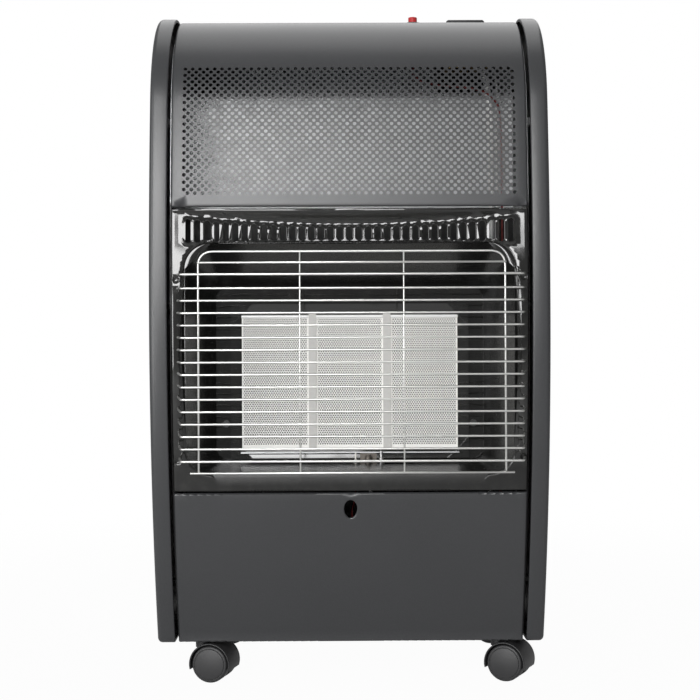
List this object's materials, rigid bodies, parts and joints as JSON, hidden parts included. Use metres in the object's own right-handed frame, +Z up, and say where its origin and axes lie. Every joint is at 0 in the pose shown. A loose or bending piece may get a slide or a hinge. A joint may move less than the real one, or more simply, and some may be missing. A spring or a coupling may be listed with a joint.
{
  "type": "portable gas cabinet heater",
  "caption": "Free-standing gas cabinet heater: ceramic burners behind a wire guard, curved steel cabinet on casters, tilting rear cover over the bottle bay.",
  "frame": {"origin": "middle of the footprint, on the floor", "axes": "+Z up, -Y to the front where the burners face, +X to the right seen from the front"},
  "size_m": [0.42, 0.4104, 0.745],
  "materials": {
    "powder_coat": "fine textured anthracite powder coat",
    "enamel": "gloss black enamel",
    "galvanised": "galvanised",
    "chrome_wire": "bright plated",
    "ceramic": "porous off-white ceramic",
    "strip_steel": "matt",
    "plain_steel": "satin",
    "porcelain": "glazed",
    "brass": "satin",
    "aluminium": "satin",
    "red_silicone": "matt",
    "black_plastic": "fine grain",
    "red_plastic": "gloss"
  },
  "bodies": {
    "cabinet": {"left_side_panel": "powder_coat", "left_side_frame": "galvanised", "right_side_panel": "powder_coat", "right_side_frame": "galvanised", "top_panel": "powder_coat", "burner_surround": "enamel", "reflector_box": "enamel", "lower_front_panel": "powder_coat", "base_pan": "powder_coat", "heat_shield": "galvanised", "heat_shield_top": "galvanised", "wire_guard": "chrome_wire", "burner_housing": "galvanised", "ceramic_plaque_left": "ceramic", "venturi_left": "plain_steel", "ceramic_plaque_middle": "ceramic", "venturi_middle": "plain_steel", "ceramic_plaque_right": "ceramic", "venturi_right": "plain_steel", "plaque_strip_left": "strip_steel", "plaque_strip_right": "strip_steel", "gas_manifold": "plain_steel", "pilot_bracket": "plain_steel", "pilot_burner": "brass", "ignition_electrode": "porcelain", "thermocouple": "plain_steel", "gas_valve": "aluminium", "hose_nozzle": "brass", "supply_pipe": "aluminium", "pilot_pipe": "aluminium", "ignition_lead": "red_silicone", "control_well": "powder_coat", "igniter_body": "black_plastic", "igniter_nut": "plain_steel", "reflector_screw_left": "plain_steel", "reflector_screw_right": "plain_steel", "front_left_caster_stem": "plain_steel", "front_right_caster_stem": "plain_steel", "rear_left_caster_stem": "plain_steel", "rear_right_caster_stem": "plain_steel"},
    "rear_cover": {"rear_cover": "powder_coat"},
    "valve_spindle": {"valve_spindle": "brass"},
    "control_knob": {"control_knob": "black_plastic"},
    "igniter_button": {"igniter_button": "red_plastic"},
    "front_left_caster": {"front_left_caster_hood": "black_plastic", "front_left_caster_axle": "plain_steel"},
    "front_left_wheel_a": {"front_left_caster_wheel_a": "black_plastic"},
    "front_left_wheel_b": {"front_left_caster_wheel_b": "black_plastic"},
    "front_right_caster": {"front_right_caster_hood": "black_plastic", "front_right_caster_axle": "plain_steel"},
    "front_right_wheel_a": {"front_right_caster_wheel_a": "black_plastic"},
    "front_right_wheel_b": {"front_right_caster_wheel_b": "black_plastic"},
    "rear_left_caster": {"rear_left_caster_hood": "black_plastic", "rear_left_caster_axle": "plain_steel"},
    "rear_left_wheel_a": {"rear_left_caster_wheel_a": "black_plastic"},
    "rear_left_wheel_b": {"rear_left_caster_wheel_b": "black_plastic"},
    "rear_right_caster": {"rear_right_caster_hood": "black_plastic", "rear_right_caster_axle": "plain_steel"},
    "rear_right_wheel_a": {"rear_right_caster_wheel_a": "black_plastic"},
    "rear_right_wheel_b": {"rear_right_caster_wheel_b": "black_plastic"}
  },
  "joints": [
    {"name": "rear_cover_tilt", "type": "hinge", "parent": "cabinet", "child": "rear_cover", "pos_m": [0, 0.20025, 0.062], "axis": [-1, 0, 0], "range_deg": [0, 80]},
    {"name": "knob_push", "type": "slide", "parent": "cabinet", "child": "valve_spindle", "axis": [0, 0, -1], "range_m": [0, 0.006], "stiffness_N_per_m": 1500, "springref_m": -0.002},
    {"name": "knob_turn", "type": "hinge", "parent": "valve_spindle", "child": "control_knob", "pos_m": [0.136, -0.02061, 0.73], "axis": [0, 0, 1], "range_deg": [0, 240]},
    {"name": "igniter_push", "type": "slide", "parent": "cabinet", "child": "igniter_button", "axis": [0, 0, -1], "range_m": [0, 0.006], "stiffness_N_per_m": 900, "springref_m": -0.002},
    {"name": "front_left_swivel", "type": "hinge", "parent": "cabinet", "child": "front_left_caster", "pos_m": [-0.163, -0.09989, 0.045], "axis": [0, 0, 1], "continuous": true},
    {"name": "front_left_wheel_a_spin", "type": "hinge", "parent": "front_left_caster", "child": "front_left_wheel_a", "pos_m": [-0.15033, -0.10281, 0.02], "axis": [0.225, 0.9744, 0], "continuous": true},
    {"name": "front_left_wheel_b_spin", "type": "hinge", "parent": "front_left_caster", "child": "front_left_wheel_b", "pos_m": [-0.15033, -0.10281, 0.02], "axis": [0.225, 0.9744, 0], "continuous": true},
    {"name": "front_right_swivel", "type": "hinge", "parent": "cabinet", "child": "front_right_caster", "pos_m": [0.163, -0.09989, 0.045], "axis": [0, 0, 1], "continuous": true},
    {"name": "front_right_wheel_a_spin", "type": "hinge", "parent": "front_right_caster", "child": "front_right_wheel_a", "pos_m": [0.17488, -0.10517, 0.02], "axis": [0.4067, 0.9135, 0], "continuous": true},
    {"name": "front_right_wheel_b_spin", "type": "hinge", "parent": "front_right_caster", "child": "front_right_wheel_b", "pos_m": [0.17488, -0.10517, 0.02], "axis": [0.4067, 0.9135, 0], "continuous": true},
    {"name": "rear_left_swivel", "type": "hinge", "parent": "cabinet", "child": "rear_left_caster", "pos_m": [-0.163, 0.11395, 0.045], "axis": [0, 0, 1], "continuous": true},
    {"name": "rear_left_wheel_a_spin", "type": "hinge", "parent": "rear_left_caster", "child": "rear_left_wheel_a", "pos_m": [-0.1505, 0.11753, 0.02], "axis": [-0.2756, 0.9613, 0], "continuous": true},
    {"name": "rear_left_wheel_b_spin", "type": "hinge", "parent": "rear_left_caster", "child": "rear_left_wheel_b", "pos_m": [-0.1505, 0.11753, 0.02], "axis": [-0.2756, 0.9613, 0], "continuous": true},
    {"name": "rear_right_swivel", "type": "hinge", "parent": "cabinet", "child": "rear_right_caster", "pos_m": [0.163, 0.11395, 0.045], "axis": [0, 0, 1], "continuous": true},
    {"name": "rear_right_wheel_a_spin", "type": "hinge", "parent": "rear_right_caster", "child": "rear_right_wheel_a", "pos_m": [0.17587, 0.11214, 0.02], "axis": [0.1392, 0.9903, 0], "continuous": true},
    {"name": "rear_right_wheel_b_spin", "type": "hinge", "parent": "rear_right_caster", "child": "rear_right_wheel_b", "pos_m": [0.17587, 0.11214, 0.02], "axis": [0.1392, 0.9903, 0], "continuous": true}
  ]
}
